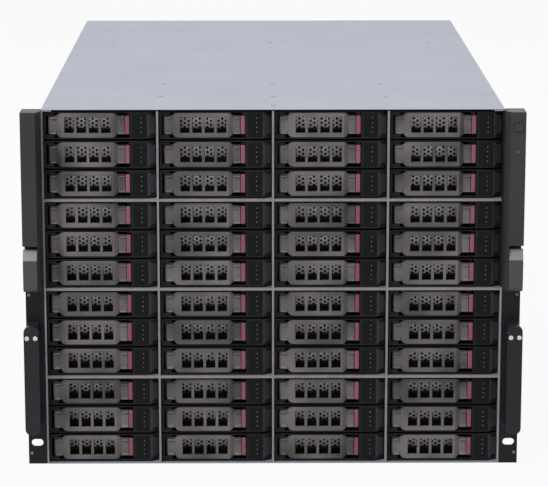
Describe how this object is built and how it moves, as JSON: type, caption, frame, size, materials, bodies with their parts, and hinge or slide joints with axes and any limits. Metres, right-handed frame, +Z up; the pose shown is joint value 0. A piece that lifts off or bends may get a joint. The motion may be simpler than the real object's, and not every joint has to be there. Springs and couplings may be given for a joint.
{
  "type": "video storage server",
  "caption": "Rack video storage server: steel case with columns of drive carriers with swing levers and red latch buttons, grey ear covers with screw flaps, and pull handles.",
  "frame": {"origin": "centre of the whole part in plan, at the underside of the case", "axes": "+X to the right as seen from the front, +Y from the front to the back, +Z up"},
  "size_m": [0.4826, 0.7376, 0.3548],
  "materials": {
    "zinc_steel": "galvanised sheet, dull silver",
    "black_steel": "black powder coat, fine texture",
    "ear_plastic": "dark grey, fine grain",
    "catch_plastic": "light grey, satin",
    "handle_black": "black, satin",
    "screw_steel": "zinc plated, bright",
    "bezel_plastic": "black, fine grain",
    "lever_plastic": "warm grey, satin",
    "button_plastic": "rose red, semi gloss",
    "drive_case": "cast, dull",
    "circuit_board": "green solder mask",
    "socket_plastic": "black",
    "fan_plastic": "black, satin",
    "heatsink_metal": "extruded, plain",
    "supply_case": "dull sheet",
    "supply_tab": "green, satin",
    "port_shell": "tinned, satin",
    "key_plastic": "dark grey, satin"
  },
  "bodies": {
    "chassis": {"chassis_base": "zinc_steel", "rear_panel": "zinc_steel", "bay_dividers": "zinc_steel", "bank_shelves": "zinc_steel", "drive_backplanes": "circuit_board", "backplane_sockets": "socket_plastic", "fan_frames": "fan_plastic", "power_bay": "zinc_steel", "main_board": "circuit_board", "processor_heatsinks": "heatsink_metal", "memory_modules": "circuit_board", "expansion_cards": "circuit_board", "rear_ports": "port_shell", "handle_screws": "screw_steel", "rack_ear_left": "black_steel", "rack_ear_right": "black_steel", "ear_cover_left": "ear_plastic", "ear_cover_right": "ear_plastic", "pull_handle_left": "handle_black", "pull_handle_right": "handle_black"},
    "cover": {"top_cover": "zinc_steel"},
    "carrier_bay_1": {"carrier_tray_bay_1": "zinc_steel", "hard_drive_bay_1": "drive_case", "carrier_bezel_bay_1": "bezel_plastic"},
    "lever_bay_1": {"carrier_lever_bay_1": "lever_plastic"},
    "latch_bay_1": {"latch_button_bay_1": "button_plastic"},
    "carriers_column_1": {"carrier_trays_column_1": "zinc_steel", "hard_drives_column_1": "drive_case", "carrier_bezels_column_1": "bezel_plastic"},
    "levers_column_1": {"carrier_levers_column_1": "lever_plastic"},
    "latches_column_1": {"latch_buttons_column_1": "button_plastic"},
    "carriers_column_2": {"carrier_trays_column_2": "zinc_steel", "hard_drives_column_2": "drive_case", "carrier_bezels_column_2": "bezel_plastic"},
    "levers_column_2": {"carrier_levers_column_2": "lever_plastic"},
    "latches_column_2": {"latch_buttons_column_2": "button_plastic"},
    "carriers_column_3": {"carrier_trays_column_3": "zinc_steel", "hard_drives_column_3": "drive_case", "carrier_bezels_column_3": "bezel_plastic"},
    "levers_column_3": {"carrier_levers_column_3": "lever_plastic"},
    "latches_column_3": {"latch_buttons_column_3": "button_plastic"},
    "carriers_column_4": {"carrier_trays_column_4": "zinc_steel", "hard_drives_column_4": "drive_case", "carrier_bezels_column_4": "bezel_plastic"},
    "levers_column_4": {"carrier_levers_column_4": "lever_plastic"},
    "latches_column_4": {"latch_buttons_column_4": "button_plastic"},
    "flap_left": {"ear_flap_left": "ear_plastic", "flap_catch_left": "catch_plastic"},
    "flap_right": {"ear_flap_right": "ear_plastic", "flap_catch_right": "catch_plastic"},
    "power_key": {"power_key": "key_plastic"},
    "rotor_1": {"fan_rotor_1": "fan_plastic"},
    "rotor_2": {"fan_rotor_2": "fan_plastic"},
    "rotor_3": {"fan_rotor_3": "fan_plastic"},
    "supply_1": {"power_supply_1": "supply_case"},
    "supply_1_latch": {"supply_latch_1": "supply_tab"},
    "supply_2": {"power_supply_2": "supply_case"},
    "supply_2_latch": {"supply_latch_2": "supply_tab"}
  },
  "joints": [
    {"name": "cover_lift", "type": "slide", "parent": "chassis", "child": "cover", "axis": [0, 0, 1], "range_m": [0, 0.15]},
    {"name": "carrier_bay_1_slide", "type": "slide", "parent": "chassis", "child": "carrier_bay_1", "axis": [0, -1, 0], "range_m": [0, 0.2]},
    {"name": "lever_bay_1_swing", "type": "hinge", "parent": "carrier_bay_1", "child": "lever_bay_1", "pos_m": [-0.2148, -0.32875, 0.18], "axis": [0, 0, -1], "range_deg": [0, 60]},
    {"name": "latch_bay_1_press", "type": "slide", "parent": "carrier_bay_1", "child": "latch_bay_1", "axis": [0, 1, 0], "range_m": [0, 0.003], "stiffness_N_per_m": 300, "springref_m": -0.001},
    {"name": "carriers_column_1_slide", "type": "slide", "parent": "chassis", "child": "carriers_column_1", "axis": [0, -1, 0], "range_m": [0, 0.2]},
    {"name": "levers_column_1_swing", "type": "hinge", "parent": "carriers_column_1", "child": "levers_column_1", "pos_m": [-0.2148, -0.32875, 0.18], "axis": [0, 0, -1], "range_deg": [0, 60]},
    {"name": "latches_column_1_press", "type": "slide", "parent": "carriers_column_1", "child": "latches_column_1", "axis": [0, 1, 0], "range_m": [0, 0.003], "stiffness_N_per_m": 3300, "springref_m": -0.001},
    {"name": "carriers_column_2_slide", "type": "slide", "parent": "chassis", "child": "carriers_column_2", "axis": [0, -1, 0], "range_m": [0, 0.2]},
    {"name": "levers_column_2_swing", "type": "hinge", "parent": "carriers_column_2", "child": "levers_column_2", "pos_m": [-0.1034, -0.32875, 0.18], "axis": [0, 0, -1], "range_deg": [0, 60]},
    {"name": "latches_column_2_press", "type": "slide", "parent": "carriers_column_2", "child": "latches_column_2", "axis": [0, 1, 0], "range_m": [0, 0.003], "stiffness_N_per_m": 3600, "springref_m": -0.001},
    {"name": "carriers_column_3_slide", "type": "slide", "parent": "chassis", "child": "carriers_column_3", "axis": [0, -1, 0], "range_m": [0, 0.2]},
    {"name": "levers_column_3_swing", "type": "hinge", "parent": "carriers_column_3", "child": "levers_column_3", "pos_m": [0.008, -0.32875, 0.18], "axis": [0, 0, -1], "range_deg": [0, 60]},
    {"name": "latches_column_3_press", "type": "slide", "parent": "carriers_column_3", "child": "latches_column_3", "axis": [0, 1, 0], "range_m": [0, 0.003], "stiffness_N_per_m": 3600, "springref_m": -0.001},
    {"name": "carriers_column_4_slide", "type": "slide", "parent": "chassis", "child": "carriers_column_4", "axis": [0, -1, 0], "range_m": [0, 0.2]},
    {"name": "levers_column_4_swing", "type": "hinge", "parent": "carriers_column_4", "child": "levers_column_4", "pos_m": [0.1194, -0.32875, 0.18], "axis": [0, 0, -1], "range_deg": [0, 60]},
    {"name": "latches_column_4_press", "type": "slide", "parent": "carriers_column_4", "child": "latches_column_4", "axis": [0, 1, 0], "range_m": [0, 0.003], "stiffness_N_per_m": 3600, "springref_m": -0.001},
    {"name": "flap_left_swing", "type": "hinge", "parent": "chassis", "child": "flap_left", "pos_m": [-0.234, -0.35525, 0.183], "axis": [1, 0, 0], "range_deg": [0, 90]},
    {"name": "flap_right_swing", "type": "hinge", "parent": "chassis", "child": "flap_right", "pos_m": [0.234, -0.35525, 0.183], "axis": [1, 0, 0], "range_deg": [0, 90]},
    {"name": "power_key_press", "type": "slide", "parent": "chassis", "child": "power_key", "axis": [0, 1, 0], "range_m": [0, 0.0015], "stiffness_N_per_m": 400, "springref_m": -0.001},
    {"name": "rotor_1_spin", "type": "hinge", "parent": "chassis", "child": "rotor_1", "pos_m": [-0.14, 0.32275, 0.262], "axis": [0, 1, 0], "continuous": true},
    {"name": "rotor_2_spin", "type": "hinge", "parent": "chassis", "child": "rotor_2", "pos_m": [0, 0.32275, 0.262], "axis": [0, 1, 0], "continuous": true},
    {"name": "rotor_3_spin", "type": "hinge", "parent": "chassis", "child": "rotor_3", "pos_m": [0.14, 0.32275, 0.262], "axis": [0, 1, 0], "continuous": true},
    {"name": "supply_1_slide", "type": "slide", "parent": "chassis", "child": "supply_1", "axis": [0, 1, 0], "range_m": [0, 0.2]},
    {"name": "supply_1_latch_push", "type": "slide", "parent": "supply_1", "child": "supply_1_latch", "axis": [-1, 0, 0], "range_m": [0, 0.0025], "stiffness_N_per_m": 400, "springref_m": -0.001},
    {"name": "supply_2_slide", "type": "slide", "parent": "chassis", "child": "supply_2", "axis": [0, 1, 0], "range_m": [0, 0.2]},
    {"name": "supply_2_latch_push", "type": "slide", "parent": "supply_2", "child": "supply_2_latch", "axis": [-1, 0, 0], "range_m": [0, 0.0025], "stiffness_N_per_m": 400, "springref_m": -0.001}
  ]
}
